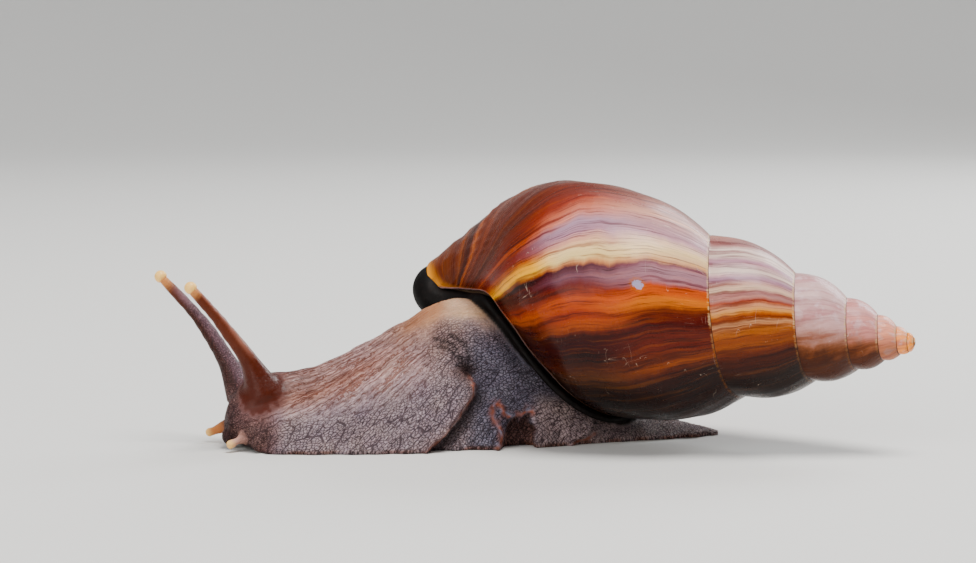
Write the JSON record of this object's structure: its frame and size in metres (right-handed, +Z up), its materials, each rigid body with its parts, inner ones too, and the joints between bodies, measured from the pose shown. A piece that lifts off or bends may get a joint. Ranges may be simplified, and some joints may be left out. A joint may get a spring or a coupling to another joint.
{
  "type": "giant african land snail",
  "caption": "Life-size still model of a giant land snail crawling, with its long conical spiral shell, stretched neck and raised eye tentacles.",
  "frame": {"origin": "a point of the flat sole, under the front of the shell", "axes": "+Z up, -X towards the head, +X towards the shell's apex, -Y towards the snail's left side"},
  "size_m": [0.1152, 0.0447, 0.0403],
  "materials": {
    "shell": "glossy brown shell with darker and paler bands across the whorls",
    "skin": "moist grooved skin",
    "mantle": "smooth and moist",
    "eye": "smooth and moist"
  },
  "bodies": {
    "root": {"shell": "shell", "mantle_collar": "mantle", "foot_flap_left": "skin", "foot_curl_left": "skin", "foot_lobe_left": "skin", "foot_flap_right": "skin", "foot_lobe_right": "skin", "head": "skin", "neck": "skin", "shoulder": "skin", "foot_front": "skin", "foot_middle": "skin", "foot_rear": "skin", "tail": "skin", "upper_tentacle_left": "skin", "upper_tentacle_right": "skin", "lower_tentacle_left": "skin", "lower_tentacle_right": "skin", "mouth_lobe_left": "skin", "mouth_lobe_right": "skin", "eye_left": "eye", "eye_right": "eye"}
  },
  "joints": []
}
